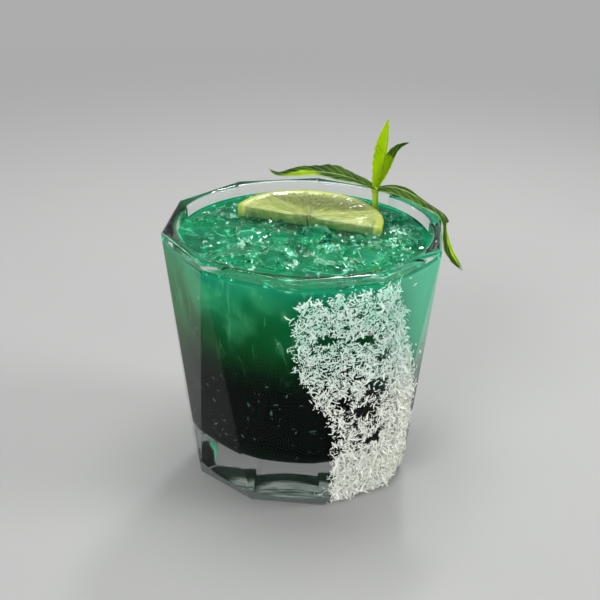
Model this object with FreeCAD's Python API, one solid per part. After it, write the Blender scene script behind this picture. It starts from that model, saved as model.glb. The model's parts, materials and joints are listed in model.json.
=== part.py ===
import FreeCAD, Part
import math
import os

from FreeCAD import Placement, Rotation, Vector

# An iced lime and mint cocktail in a heavy ten-sided tumbler, in millimetres.
# The origin is the middle of the foot, +Z is up and the drinker sits on the -Y side.
# Compass angles are in degrees from -Y, turning towards +X.

# ---- Tumbler: twenty flat triangles between a ten-sided rim and a ten-sided foot ----
glass_height = 86.0
side_count = 10
rim_corner_radius = 47.4
foot_corner_radius = 38.7
rim_first_corner = -5.0
rim_wall = 2.8  # at the middle of a rim side, where the glass is thinnest
floor_wall = 5.5  # beside the floor of the bowl
floor_thickness = 14.0
floor_fillet = 7.0
edge_rounding = 0.46 * rim_wall
punt_margin = 7.5  # flat ring left on the foot, measured from a foot side
punt_depth = 1.4

# ---- Drink ----
fill_gap = 4.5  # from the surface of the drink up to the rim

# ---- Lime half-wheel, lying on the drink ----
lime_radius = 25.5
lime_thickness = 5.0
lime_lift = 3.7  # top of the slice above the drink
lime_wall_gap = 6.1  # between the peel and the bowl
lime_sideways = -1.9  # of its centre, along its straight side
lime_turn = -17.2
lime_tilt = 1.4
lime_peel = 2.4  # rind and pith together
lime_segments = 5
lime_membrane = 0.7
lime_pulp_dip = 0.35
lime_peel_rounding = 0.9
lime_core_radius = 1.0

# ---- Mint sprig ----
stem_radius = 1.1
stem_depth = 14.0  # of the stem below the surface of the drink
stem_gap = 0.8  # between the stem and the peel of the lime
stem_direction = 47.2  # round the lime, in degrees from its straight edge
node_lift = 8.8  # from the surface of the drink up to where the leaves start
leaf_thickness = 0.55
leaf_edge = 0.24
leaf_teeth = 8
leaf_tooth_depth = 0.13
leaf_rim_gap = 0.3

# ---- Cracked ice that breaks the surface ----
ice_gap = 0.6  # between neighbouring pieces
ice_wall_gap = 1.0  # between a piece and the bowl
ice_depth = 9.0  # of a piece below the surface of the drink
ice_facets = 9

# ---- Coat of coconut shreds on the outside ----
coconut_thickness = 1.0
coconut_middle = 38.0


def compass(radius, angle, z):
    """A point at a compass angle round the axis of the glass."""
    turn = math.radians(angle)
    return Vector(radius * math.sin(turn), -radius * math.cos(turn), z)


half_step = 180.0 / side_count
flat_share = math.cos(math.radians(half_step))
bore_radius = rim_corner_radius * flat_share - rim_wall
floor_share = floor_thickness / glass_height
foot_flat = foot_corner_radius * flat_share
floor_radius = foot_flat + (rim_corner_radius - foot_flat) * floor_share - floor_wall
drink_level = glass_height - fill_gap


def bore_at(z):
    """Radius of the straight inner wall at a height."""
    share = (z - floor_thickness) / (glass_height - floor_thickness)
    return floor_radius + (bore_radius - floor_radius) * share


def solid_from_corners(faces):
    """A closed solid from lists of corners, one list for each flat face."""
    flats = [Part.Face(Part.makePolygon(corners + corners[:1])) for corners in faces]
    solid = Part.makeSolid(Part.makeShell(flats))
    if solid.Volume < 0:
        solid.reverse()
    return solid


def faceted_body(grow_foot, grow_rim):
    """The outside of the tumbler, with every edge rounded, grown outwards at its foot and rim."""
    rounding = edge_rounding
    rim = []
    foot = []
    for side in range(side_count):
        angle = rim_first_corner + 2 * half_step * side
        rim.append(compass(rim_corner_radius + grow_rim - rounding, angle, glass_height - rounding))
        foot.append(compass(foot_corner_radius + grow_foot - rounding, angle + half_step, rounding))
    faces = [rim, foot[::-1]]
    for side in range(side_count):
        after = (side + 1) % side_count
        faces.append([rim[side], foot[side], rim[after]])
        faces.append([foot[side], foot[after], rim[after]])
    core = solid_from_corners(faces)
    return core.makeOffsetShape(rounding, 0.001, join=0)


def tangent_arc(before, corner, after, radius):
    """Start, middle and end of the arc that rounds a corner between two straight lines."""
    to_before = (before - corner).normalize()
    to_after = (after - corner).normalize()
    half = to_before.getAngle(to_after) / 2
    start = corner + to_before * (radius / math.tan(half))
    end = corner + to_after * (radius / math.tan(half))
    inward = (to_before + to_after).normalize()
    middle = corner + inward * (radius / math.sin(half) - radius)
    return start, middle, end


def bowl_space(top, lip):
    """The round space inside the tumbler, up to a height, with a rounded lip if one is given."""
    axis_floor = Vector(0, 0, floor_thickness)
    floor_corner = Vector(floor_radius, 0, floor_thickness)
    wall_top = Vector(bore_at(top), 0, top)
    start, middle, end = tangent_arc(axis_floor, floor_corner, wall_top, floor_fillet)
    edges = [
        Part.LineSegment(axis_floor, start).toShape(),
        Part.Arc(start, middle, end).toShape(),
    ]
    if lip:
        below_lip = Vector(bore_at(top - lip), 0, top - lip)
        slant = math.sqrt(0.5)
        lip_middle = below_lip + Vector(lip * (1 - slant), 0, lip * slant)
        lip_top = below_lip + Vector(lip, 0, lip)
        above = lip_top + Vector(0, 0, lip)
        edges.append(Part.LineSegment(end, below_lip).toShape())
        edges.append(Part.Arc(below_lip, lip_middle, lip_top).toShape())
        edges.append(Part.LineSegment(lip_top, above).toShape())
    else:
        above = wall_top
        edges.append(Part.LineSegment(end, above).toShape())
    axis_top = Vector(0, 0, above.z)
    edges.append(Part.LineSegment(above, axis_top).toShape())
    edges.append(Part.LineSegment(axis_top, axis_floor).toShape())
    return Part.Face(Part.Wire(edges)).revolve(Vector(0, 0, 0), Vector(0, 0, 1), 360)


def make_glass():
    """The tumbler: faceted outside, round inside, thick floor and a shallow hollow underneath."""
    punt_radius = foot_flat - punt_margin
    ball_radius = (punt_radius**2 + punt_depth**2) / (2 * punt_depth)
    punt = Part.makeSphere(ball_radius, Vector(0, 0, punt_depth - ball_radius))
    return faceted_body(0, 0).cut(bowl_space(glass_height, edge_rounding)).cut(punt)


def lime_centre():
    """Middle of the straight side of the slice, level with the surface of the drink."""
    turn = Rotation(Vector(0, 0, 1), lime_turn)
    inward = bore_at(drink_level) - lime_radius - lime_wall_gap
    return turn.multVec(Vector(lime_sideways, inward, 0)) + Vector(0, 0, drink_level)


def lime_placement():
    """Where the slice lies: turned on the drink and tipped down to the right."""
    underside = lime_centre() + Vector(0, 0, lime_lift - lime_thickness)
    tip = Rotation(Vector(0, 1, 0), lime_tilt)
    turn = Rotation(Vector(0, 0, 1), lime_turn)
    return Placement(underside, tip.multiply(turn))


def lime_blank(grow):
    """Half a disc, straight side to the front, grown on every side."""
    low = Vector(0, 0, -grow)
    disc = Part.makeCylinder(lime_radius + grow, lime_thickness + 2 * grow, low)
    reach = 3 * lime_radius
    front = Part.makeBox(2 * reach, reach, reach, Vector(-reach, -reach - grow, -reach / 2))
    return disc.cut(front)


def pulp_pocket(segment):
    """The shallow wedge of pulp in one segment, between its membranes."""
    step = 180.0 / lime_segments
    middle = math.radians(step * (segment + 0.5))
    shift = lime_membrane / (2 * math.sin(math.radians(step / 2)))
    apex = Vector(shift * math.cos(middle), shift * math.sin(middle), 0)
    wedge = Part.makeCylinder(lime_radius, lime_thickness, apex, Vector(0, 0, 1), step)
    wedge.rotate(apex, Vector(0, 0, 1), step * segment)
    inside = Part.makeCylinder(lime_radius - lime_peel, lime_thickness)
    core = Part.makeCylinder(2 * lime_core_radius, lime_thickness)
    return wedge.common(inside).cut(core)


def make_lime():
    """The half-wheel: rounded peel, dished segments between membranes and a notch at the core."""
    slice_solid = lime_blank(0)
    peel_edges = []
    for edge in slice_solid.Edges:
        if isinstance(edge.Curve, Part.Circle):
            peel_edges.append(edge)
    slice_solid = slice_solid.makeFillet(lime_peel_rounding, peel_edges)
    slice_solid = slice_solid.cut(Part.makeCylinder(lime_core_radius, lime_thickness))
    for segment in range(lime_segments):
        for height in (lime_thickness - lime_pulp_dip, lime_pulp_dip - lime_thickness):
            pocket = pulp_pocket(segment)
            pocket.translate(Vector(0, 0, height))
            slice_solid = slice_solid.cut(pocket)
    slice_solid.Placement = lime_placement()
    return slice_solid


def stem_foot():
    """The point where the stem leaves the drink, just behind the peel of the lime."""
    turn = math.radians(lime_turn + stem_direction)
    away = lime_radius + stem_gap + stem_radius
    return lime_centre() + Vector(away * math.cos(turn), away * math.sin(turn), 0)


def leaf_section(middle, along, up, half_width, fold, thickness):
    """A thin V across a leaf: two blades folded up from the midrib."""
    side = along.cross(up).normalize()
    over = side.cross(along).normalize()
    lean = math.radians(fold)
    corners = []
    for lift in (thickness / 2, -thickness / 2):
        edge_lift = math.copysign(leaf_edge / 2, lift)
        row = []
        for hand in (-1, 1):
            blade = side * (hand * math.cos(lean) * half_width)
            rise = over * (math.sin(lean) * half_width + edge_lift)
            row.append(middle + blade + rise)
        row.insert(1, middle + over * lift)
        corners += row if lift > 0 else row[::-1]
    return Part.makePolygon(corners + corners[:1])


def blend(values, share):
    """A value part of the way through an evenly spaced list."""
    place = share * (len(values) - 1)
    before = min(int(place), len(values) - 2)
    rest = place - before
    return values[before] * (1 - rest) + values[before + 1] * rest


def make_leaf(route, facing, half_width, fold, fullness, shoulder):
    """A toothed, pointed leaf; more fullness widens it to the tip, more shoulder at its foot."""
    midrib = Part.BSplineCurve()
    midrib.interpolate(route)
    stations = 2 * leaf_teeth + 1
    sections = []
    for station in range(stations):
        share = station / (stations - 1)
        at = midrib.FirstParameter + share * (midrib.LastParameter - midrib.FirstParameter)
        along = Vector(*midrib.tangent(at)[0])
        swell = math.sin(math.pi * (shoulder + (0.98 - shoulder) * share) ** fullness)
        tooth = 1 - leaf_tooth_depth * (station % 2)
        width = half_width * max(swell, 0.06) * tooth
        thickness = leaf_thickness * (1 - 0.5 * share)
        up = blend(facing, share)
        sections.append(leaf_section(midrib.value(at), along, up, width, fold, thickness))
    return Part.makeLoft(sections, True, True)


def make_leaves(crown):
    """Four leaves from the top of the stem: one to the left, two upright and one over the rim."""

    def from_crown(*offsets):
        return [crown] + [crown + Vector(*offset) for offset in offsets]

    left = from_crown(
        (-3.0, 0.2, 1.2),
        (-7.1, 0.5, 2.7),
        (-13.0, 1.1, 4.2),
        (-21.0, 2.2, 4.7),
        (-29.0, 3.3, 3.7),
        (-35.3, 4.0, 3.2),
        (-37.7, 4.3, 5.0),
    )
    upright = from_crown((1.2, 0, 5.0), (2.3, 0, 13.0), (3.1, 0, 25.0))
    small = from_crown((2.2, -0.2, 5.6), (4.4, -0.4, 11.0), (7.0, -0.8, 15.3), (10.6, -1.3, 17.4))
    right_corner = compass(rim_corner_radius, rim_first_corner + 6 * half_step, glass_height)
    front_corner = compass(rim_corner_radius, rim_first_corner + 8 * half_step, glass_height)
    over_rim = right_corner + (front_corner - right_corner) * 0.2
    over_rim = over_rim + Vector(0.2, 0.1, leaf_thickness + 2 * leaf_rim_gap)
    arch = Vector(0, 1.2, 1.9)
    drape = [crown] + [crown + (over_rim - crown) * share + arch for share in (0.28, 0.62)]
    for offset in (
        (0, 0, 0),
        (3.8, -5.4, -1.7),
        (4.9, -7.6, -7.2),
        (7.3, -9.3, -14.0),
        (10.9, -10.5, -18.6),
    ):
        drape.append(over_rim + Vector(*offset))
    back_left = Vector(-0.59, 0.80, 0)
    to_front = [Vector(-0.5, -0.85, 0.3), Vector(-0.3, -0.5, 0.8)]
    hanging = [Vector(0, -0.17, 1), Vector(0.05, -0.05, 1), Vector(0.15, 0.3, 1)]
    hanging += [Vector(0.5, 0.3, 0.8), Vector(0.8, -0.35, 0.5), Vector(0.6, -0.7, 0.35)]
    return [
        make_leaf(left, [Vector(0, 0, 1), Vector(0, 0, 1)], 7.0, 7, 0.85, 0.06),
        make_leaf(upright, [back_left, back_left], 3.8, 34, 1.1, 0.12),
        make_leaf(small, to_front, 2.3, 20, 1.0, 0.1),
        make_leaf(drape, hanging, 6.3, -9, 0.92, 0.05),
    ]


def make_mint():
    """The sprig: one stem standing in the drink and four leaves from its top."""
    foot = stem_foot()
    crown = foot + Vector(-0.6, 0, node_lift)
    bottom = foot + Vector(0, 0, -stem_depth)
    along = crown - bottom
    sprig = Part.makeCone(stem_radius, 0.85 * stem_radius, along.Length, bottom, along)
    sprig = sprig.fuse(Part.makeSphere(1.2 * stem_radius, crown))
    for leaf in make_leaves(crown):
        sprig = sprig.fuse(leaf)
    return sprig


def ice_places():
    """Centre, half width and rise above the drink of each piece of ice, by name."""
    front = lime_centre().y - 0.25 * lime_radius
    wall = bore_radius
    return {
        "ice_left": (Vector(-0.79 * wall, 0.30 * wall, 0), 6.0, 1.6),
        "ice_middle_left": (Vector(-0.43 * wall, 0.0, 0), 7.6, 2.0),
        "ice_middle": (Vector(0.09 * wall, front - 1.4, 0), 7.2, 3.0),
        "ice_front_left": (Vector(-0.57 * wall, -0.46 * wall, 0), 8.2, 1.7),
        "ice_front": (Vector(-0.19 * wall, -0.45 * wall, 0), 8.2, 2.8),
        "ice_front_middle": (Vector(0.17 * wall, -0.47 * wall, 0), 7.2, 1.5),
        "ice_front_right": (Vector(0.51 * wall, -0.37 * wall, 0), 8.2, 2.2),
        "ice_right": (Vector(0.82 * wall, -0.05 * wall, 0), 6.2, 1.6),
        "ice_back_right": (Vector(0.76 * wall, 0.43 * wall, 0), 5.2, 2.0),
    }


def half_space(point, outward):
    """A large block that fills everything beyond a plane."""
    size = 4 * rim_corner_radius
    block = Part.makeBox(size, size, size, Vector(-size / 2, -size / 2, 0))
    block.Placement = Placement(point, Rotation(Vector(0, 0, 1), outward))
    return block


def cracked_piece(number, centre, half_width, rise):
    """A block of ice with its corners broken off along uneven planes."""
    size = 2 * half_width
    tall = rise + ice_depth
    low = Vector(centre.x - half_width, centre.y - half_width, drink_level - ice_depth)
    block = Part.makeBox(size, size, tall, low)
    middle = Vector(centre.x, centre.y, drink_level + (rise - ice_depth) / 2)
    block.rotate(middle, Vector(0, 0, 1), 37 * number)
    block.rotate(middle, Vector(1, 0.4 * math.sin(number), 0), 7 * math.sin(1.7 * number))
    for facet in range(ice_facets):
        turn = math.radians(137.5 * facet + 50 * number)
        slope = math.radians(62 - 16 * facet + 9 * math.sin(2.3 * facet + number))
        flat = math.cos(slope)
        outward = Vector(flat * math.cos(turn), flat * math.sin(turn), math.sin(slope))
        reach = Vector(flat * half_width, 0, math.sin(slope) * tall / 2).Length
        share = 0.90 + 0.07 * math.sin(4.1 * facet + 1.9 * number)
        block = block.cut(half_space(middle + outward * (reach * share), outward))
    return block


def make_ice(lime_room, stem_room):
    """Every piece of surface ice, kept clear of its neighbours, the bowl, the lime and the stem."""
    places = ice_places()
    room = bowl_space(glass_height, 0)
    pieces = {}
    for number, name in enumerate(places):
        centre, half_width, rise = places[name]
        piece = cracked_piece(number, centre, half_width, rise)
        for other in places:
            if other == name:
                continue
            other_centre, other_width, _ = places[other]
            between = other_centre - centre
            share = half_width / (half_width + other_width)
            away = between.Length * share - ice_gap / 2
            outward = Vector(between).normalize()
            cut_at = Vector(centre.x, centre.y, drink_level) + outward * away
            piece = piece.cut(half_space(cut_at, outward))
        shrink = 1 - ice_wall_gap / bore_radius
        inner = room.copy()
        inner.transformShape(FreeCAD.Matrix(shrink, 0, 0, 0, 0, shrink, 0, 0, 0, 0, 1, 0))
        piece = piece.common(inner).cut(lime_room).cut(stem_room)
        pieces[name] = max(piece.Solids, key=lambda solid: solid.Volume)
    return pieces


def make_drink(sunk):
    """The liquid, level with the fill line and cut round everything that stands in it."""
    drink = bowl_space(drink_level, 0)
    for solid in sunk:
        drink = drink.cut(solid)
    return drink


def coconut_outline():
    """Compass angle and height of the edge of the coat, anticlockwise from its lower left."""
    foot = 0.6
    top = glass_height
    left_side = [(17, foot), (15, 0.10 * top), (15, 0.34 * top), (8, 0.45 * top), (-3, 0.62 * top)]
    left_side += [(-6, 0.79 * top), (-4, 0.91 * top)]
    upper_edge = [(6, 0.93 * top), (18, 0.945 * top), (32, 0.96 * top)]
    right_side = [(42, 0.92 * top), (49, 0.76 * top), (57, 0.58 * top), (63, 0.43 * top)]
    right_side += [(70, 0.26 * top), (74, 0.12 * top), (75, foot)]
    return left_side + upper_edge + right_side


def make_coconut():
    """A thin, uneven patch of shreds over five facets, thickest at the foot."""
    coat = faceted_body(1.7 * coconut_thickness, coconut_thickness).cut(faceted_body(0, 0))
    frame = Rotation(Vector(0, 0, 1), coconut_middle)
    points = []
    for angle, z in coconut_outline():
        reach = foot_corner_radius + (rim_corner_radius - foot_corner_radius) * z / glass_height
        across = reach * math.sin(math.radians(angle - coconut_middle))
        points.append(frame.multVec(Vector(across, 0, z)))
    edge = Part.BSplineCurve()
    edge.interpolate(points)
    closing = Part.LineSegment(points[-1], points[0])
    patch = Part.Face(Part.Wire([edge.toShape(), closing.toShape()]))
    outward = frame.multVec(Vector(0, -2 * rim_corner_radius, 0))
    return coat.common(patch.extrude(outward))


def main():
    os.makedirs("parts", exist_ok=True)
    lime_room = lime_blank(ice_gap)
    lime_room.Placement = lime_placement()
    foot = stem_foot()
    stem_room = Part.makeCylinder(stem_radius + ice_gap, glass_height, Vector(foot.x, foot.y, 0))
    solids = {"glass": make_glass(), "lime_slice": make_lime(), "mint_sprig": make_mint()}
    ice = make_ice(lime_room, stem_room)
    sunk = [solids["lime_slice"], solids["mint_sprig"]] + list(ice.values())
    solids["drink"] = make_drink(sunk)
    solids["coconut_coat"] = make_coconut()
    solids.update(ice)
    for name, shape in solids.items():
        print(name, "solids", len(shape.Solids), "valid", shape.isValid(), "mm3", round(shape.Volume))
        shape.exportStep(os.path.join("parts", name + ".step"))


main()
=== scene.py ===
import json
import math
import random

import bmesh
import bpy
import numpy as np
from mathutils import Matrix, Vector, noise
from mathutils.bvhtree import BVHTree

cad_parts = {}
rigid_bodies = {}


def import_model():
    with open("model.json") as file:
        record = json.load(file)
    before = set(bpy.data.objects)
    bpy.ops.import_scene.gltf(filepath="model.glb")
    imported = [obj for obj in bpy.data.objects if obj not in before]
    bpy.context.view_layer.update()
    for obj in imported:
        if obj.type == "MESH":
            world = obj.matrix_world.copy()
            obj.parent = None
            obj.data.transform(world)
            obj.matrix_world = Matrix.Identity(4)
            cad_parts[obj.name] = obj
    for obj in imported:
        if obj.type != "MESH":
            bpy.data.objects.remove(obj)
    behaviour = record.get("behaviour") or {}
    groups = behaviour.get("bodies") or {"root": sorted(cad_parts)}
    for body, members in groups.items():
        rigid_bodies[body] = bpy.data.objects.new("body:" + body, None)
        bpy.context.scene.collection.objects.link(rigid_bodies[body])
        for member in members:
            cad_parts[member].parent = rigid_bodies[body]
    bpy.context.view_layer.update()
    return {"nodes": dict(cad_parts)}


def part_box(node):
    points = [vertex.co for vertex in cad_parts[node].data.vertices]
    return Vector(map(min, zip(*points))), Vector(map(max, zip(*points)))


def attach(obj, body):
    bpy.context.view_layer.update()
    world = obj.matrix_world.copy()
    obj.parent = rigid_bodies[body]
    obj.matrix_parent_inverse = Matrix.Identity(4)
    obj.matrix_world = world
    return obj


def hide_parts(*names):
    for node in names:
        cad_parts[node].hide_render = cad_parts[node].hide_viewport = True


# The visible pieces of an iced lime and mint cocktail, in metres. Sizes named here are in millimetres.

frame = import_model()

MM = 0.001
glass_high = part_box("glass")[1]
drink_low, drink_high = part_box("drink")
GLASS_HEIGHT = glass_high.z / MM
RIM_CORNER_RADIUS = 47.4
RIM_FIRST_CORNER = -5.0  # its compass angle; the other nine follow at 36 degrees
DRINK_LEVEL = drink_high.z / MM
BOWL_FLOOR = drink_low.z / MM
SIDE_VEINS = 11.0  # on each half of a mint leaf
VEIN_SLANT = 2.0  # how far forward a side vein runs on its way to the edge, in gaps between veins


def point(x, y, z):
    """A place given in millimetres."""
    return Vector((x, y, z)) * MM


def compass(radius, angle, z):
    """A place at a compass angle round the glass, in degrees from the drinker towards the right."""
    turn = math.radians(angle)
    return point(radius * math.sin(turn), -radius * math.cos(turn), z)


def clamp(value, low=0.0, high=1.0):
    """A value kept between two limits."""
    return min(max(value, low), high)


def lumpy(x, y, z):
    """Smooth noise at a place, from about -1 to 1."""
    return noise.noise(Vector((x, y, z)))


# ---------------------------------------------------------------- node wiring


class Wire:
    """An output socket that sums, differences, products and quotients can be written with."""

    def __init__(self, bench, socket):
        self.bench = bench
        self.socket = socket

    def maths(self, operation, first, second):
        return self.bench.node("ShaderNodeMath", {"operation": operation}, {0: first, 1: second})

    def __add__(self, other):
        return self.maths("ADD", self, other)

    def __sub__(self, other):
        return self.maths("SUBTRACT", self, other)

    def __rsub__(self, other):
        return self.maths("SUBTRACT", other, self)

    def __mul__(self, other):
        return self.maths("MULTIPLY", self, other)

    def __truediv__(self, other):
        return self.maths("DIVIDE", self, other)

    def __pow__(self, other):
        return self.maths("POWER", self, other)

    __radd__ = __add__
    __rmul__ = __mul__


class Bench:
    """A node tree being wired up."""

    def __init__(self, tree):
        self.tree = tree
        tree.nodes.clear()

    def node(self, kind, settings=None, sockets=None, out=0):
        made = self.tree.nodes.new(kind)
        for name, value in (settings or {}).items():
            if name == "stops":
                set_stops(made.color_ramp, value)
            else:
                setattr(made, name, value)
        for name, value in (sockets or {}).items():
            if isinstance(value, Wire):
                self.tree.links.new(value.socket, made.inputs[name])
            else:
                made.inputs[name].default_value = value
        return Wire(self, made.outputs[out]) if len(made.outputs) else None

    def vector(self, operation, sockets, out=0):
        return self.node("ShaderNodeVectorMath", {"operation": operation}, sockets, out)


def set_stops(ramp, stops):
    """Puts (place, colour) stops on a colour ramp; a plain number is a grey."""
    while len(ramp.elements) < len(stops):
        ramp.elements.new(1.0)
    for element, (place, colour) in zip(ramp.elements, stops):
        element.position = place
        element.color = colour if isinstance(colour, tuple) else (colour, colour, colour, 1.0)


def paint(red, green, blue):
    """A colour given as it looks, 0 to 255, made linear."""

    def linear(value):
        share = value / 255
        return share / 12.92 if share < 0.04045 else ((share + 0.055) / 1.055) ** 2.4

    return (linear(red), linear(green), linear(blue), 1.0)


class Finish(Bench):
    """A material being wired up."""

    def __init__(self, name):
        self.material = bpy.data.materials.new(name)
        self.material.use_nodes = True
        super().__init__(self.material.node_tree)
        self.place = self.node("ShaderNodeTexCoord", out="Object")

    def part(self, vector, axis):
        return self.node("ShaderNodeSeparateXYZ", sockets={0: vector}, out=axis)

    def stretched(self, vector, size):
        return self.node("ShaderNodeMapping", sockets={"Vector": vector, "Scale": size})

    def cloud(self, vector, scale, detail=3.0, rough=0.5, twist=0.0):
        sockets = {"Vector": vector, "Scale": scale, "Detail": detail}
        sockets.update({"Roughness": rough, "Distortion": twist})
        return self.node("ShaderNodeTexNoise", sockets=sockets)

    def cells(self, vector, scale, feature="F1"):
        sockets = {"Vector": vector, "Scale": scale}
        return self.node("ShaderNodeTexVoronoi", {"feature": feature}, sockets, "Distance")

    def ramp(self, value, stops):
        return self.node("ShaderNodeValToRGB", {"stops": stops}, {0: value})

    def step(self, value, low, high, start=0.0, end=1.0):
        """A smooth change from start to end while value goes from low to high."""
        sockets = {"Value": value, 1: low, 2: high, 3: start, 4: end}
        return self.node("ShaderNodeMapRange", {"interpolation_type": "SMOOTHSTEP"}, sockets)

    def mix(self, share, first, second):
        settings = {"data_type": "RGBA", "clamp_factor": True}
        return self.node("ShaderNodeMix", settings, {0: share, 6: first, 7: second}, out=2)

    def bump(self, height, depth, strength):
        sockets = {"Height": height, "Distance": depth, "Strength": strength}
        return self.node("ShaderNodeBump", sockets=sockets)

    def single(self, operation, value):
        return self.node("ShaderNodeMath", {"operation": operation}, {0: value})

    def surface(self, **sockets):
        named = {name.replace("_", " "): value for name, value in sockets.items()}
        return self.node("ShaderNodeBsdfPrincipled", sockets=named)

    def blend(self, share, first, second):
        return self.node("ShaderNodeMixShader", sockets={0: share, 1: first, 2: second})

    def height(self, unit):
        """Height over the table, in a unit given in metres."""
        return self.part(self.place, "Z") / unit

    def facing_up(self):
        """How far the surface faces up, from -1 to 1."""
        return self.part(self.node("ShaderNodeNewGeometry", out="Normal"), "Z")

    def done(self, shader):
        self.node("ShaderNodeOutputMaterial", sockets={"Surface": shader})
        return self.material

    def done_clear(self, shader, shade):
        """Ends a clear finish: its shadow is only a tint, so that lamps shine through."""
        through = self.node("ShaderNodeBsdfTransparent", sockets={0: shade})
        shadow = self.node("ShaderNodeLightPath", out="Is Shadow Ray")
        return self.done(self.blend(shadow, shader, through))

    def done_thin(self, shader, colour, share):
        """Ends a thin finish, which glows with the light that falls on its far side."""
        glow = self.node("ShaderNodeBsdfTranslucent", sockets={"Color": colour})
        return self.done(self.blend(share, shader, glow))


# ---------------------------------------------------------------- mesh helpers


def piece(name, corners, faces, finish, smooth=True, chart=None):
    """A mesh object in place, with its faces turned outwards and a chart of (U, V) if one is given."""
    mesh = bpy.data.meshes.new(name)
    mesh.from_pydata([tuple(c) for c in corners], [], faces)
    mesh.validate()
    if chart:
        flat = mesh.uv_layers.new(name="chart")
        for loop in mesh.loops:
            flat.data[loop.index].uv = chart[loop.vertex_index]
    made = bpy.data.objects.new(name, mesh)
    bpy.context.scene.collection.objects.link(made)
    turn_outwards(mesh)
    mesh.polygons.foreach_set("use_smooth", [smooth] * len(mesh.polygons))
    mesh.materials.append(finish)
    return made


def share_out(mesh, label, values):
    """Gives a mesh one named value for each corner."""
    mesh.attributes.new(label, "FLOAT", "POINT")
    mesh.attributes[label].data.foreach_set("value", values)


def grid_faces(rows, columns, closed=False, first=0):
    """Faces between rows of corners, counted from the first; a closed grid joins its ends."""
    width = columns if closed else columns + 1
    faces = []
    for row in range(rows):
        for column in range(columns):
            here = first + row * width + column
            after = first + row * width + (column + 1) % width
            faces.append((here, after, after + width, here + width))
    return faces


def turn_outwards(mesh):
    """Turns every face of a closed mesh outwards."""
    worked = bmesh.new()
    worked.from_mesh(mesh)
    bmesh.ops.recalc_face_normals(worked, faces=worked.faces)
    worked.to_mesh(mesh)
    worked.free()


def strip_faces(lines):
    """Faces between neighbouring lines of corner numbers."""
    faces = []
    for before, after in zip(lines, lines[1:]):
        for number in range(len(before) - 1):
            faces.append((before[number], before[number + 1], after[number + 1], after[number]))
    return faces


def settle(made):
    """Applies an object's modifiers and leaves a plain mesh."""
    graph = bpy.context.evaluated_depsgraph_get()
    graph.update()
    finished = bpy.data.meshes.new_from_object(made.evaluated_get(graph))
    made.modifiers.clear()
    spent = made.data
    made.data = finished
    finished.name = made.name
    bpy.data.meshes.remove(spent)
    return made


def carry(made, slot, *nodes):
    """Puts a finished piece on the root body, in place of CAD nodes, which are hidden; the slot is not
    used.
    """
    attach(made, "root")
    if nodes:
        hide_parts(*nodes)
    return made


def tree_of(node_object):
    """A search tree over a mesh."""
    mesh = node_object.data
    corners = [v.co.copy() for v in mesh.vertices]
    return BVHTree.FromPolygons(corners, [tuple(p.vertices) for p in mesh.polygons])


def joined_tree(made):
    """One search tree over several finished pieces."""
    corners = []
    faces = []
    for one in made:
        first = len(corners)
        corners += [v.co.copy() for v in one.data.vertices]
        faces += [tuple(first + index for index in p.vertices) for p in one.data.polygons]
    return BVHTree.FromPolygons(corners, faces)


glass_tree = tree_of(frame["nodes"]["glass"])


def bowl_radius(z):
    """Radius of the bowl at a height, in millimetres, felt out from the axis."""
    widest = 0.0
    for step in range(24):
        turn = 2 * math.pi * (step + 0.37) / 24
        way = Vector((math.cos(turn), math.sin(turn), 0))
        hit = glass_tree.ray_cast(point(0, 0, z), way)
        if hit[0] is not None:
            widest = max(widest, hit[3] / MM)
    return widest


def glass_skin(angle, z):
    """The place and outward direction of the outside of the glass at a compass angle and height."""
    start = compass(90, angle, z)
    way = (compass(0, angle, z) - start).normalized()
    hit = glass_tree.ray_cast(start, way)
    return hit[0], hit[1]


def spline(points):
    """A smooth curve through points, by a share from 0 to 1 of the length of their straight runs."""
    knots = np.array([tuple(p) for p in points], float)
    gaps = np.linalg.norm(np.diff(knots, axis=0), axis=1)
    at = np.concatenate([[0.0], np.cumsum(gaps)])
    count = len(knots)
    system = np.zeros((count, count))
    wanted = np.zeros((count, 3))
    system[0, 0] = system[-1, -1] = 1.0
    for row in range(1, count - 1):
        before, after = gaps[row - 1], gaps[row]
        system[row, row - 1 : row + 2] = (before, 2 * (before + after), after)
        rise = (knots[row + 1] - knots[row]) / after - (knots[row] - knots[row - 1]) / before
        wanted[row] = 6 * rise
    bend = np.linalg.solve(system, wanted)

    def value(share):
        where = clamp(share) * at[-1]
        run = min(int(np.searchsorted(at, where, side="right")) - 1, count - 2)
        gap = gaps[run]
        left = (at[run + 1] - where) / gap
        right = (where - at[run]) / gap
        flat = left * knots[run] + right * knots[run + 1]
        curved = (left**3 - left) * bend[run] + (right**3 - right) * bend[run + 1]
        return Vector(flat + curved * gap * gap / 6)

    return value


# ---------------------------------------------------------------- finishes


def tumbler_glass(name, mirror):
    """Clear pressed glass with a faint green body and barely uneven faces; lamps shine through it."""
    f = Finish(name)
    ripple = f.cloud(f.place, 55.0, 2.0)
    skin = f.bump(ripple, 0.00025, 0.5)
    clear = f.surface(
        Base_Color=(0.93, 0.975, 0.965, 1.0),
        Roughness=0.015,
        IOR=1.46,
        Transmission_Weight=1.0,
        Specular_Tint=(mirror, mirror, mirror, 1.0),
        Normal=skin,
    )
    return f.done_clear(clear, (0.9, 0.96, 0.94, 1.0))


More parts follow.
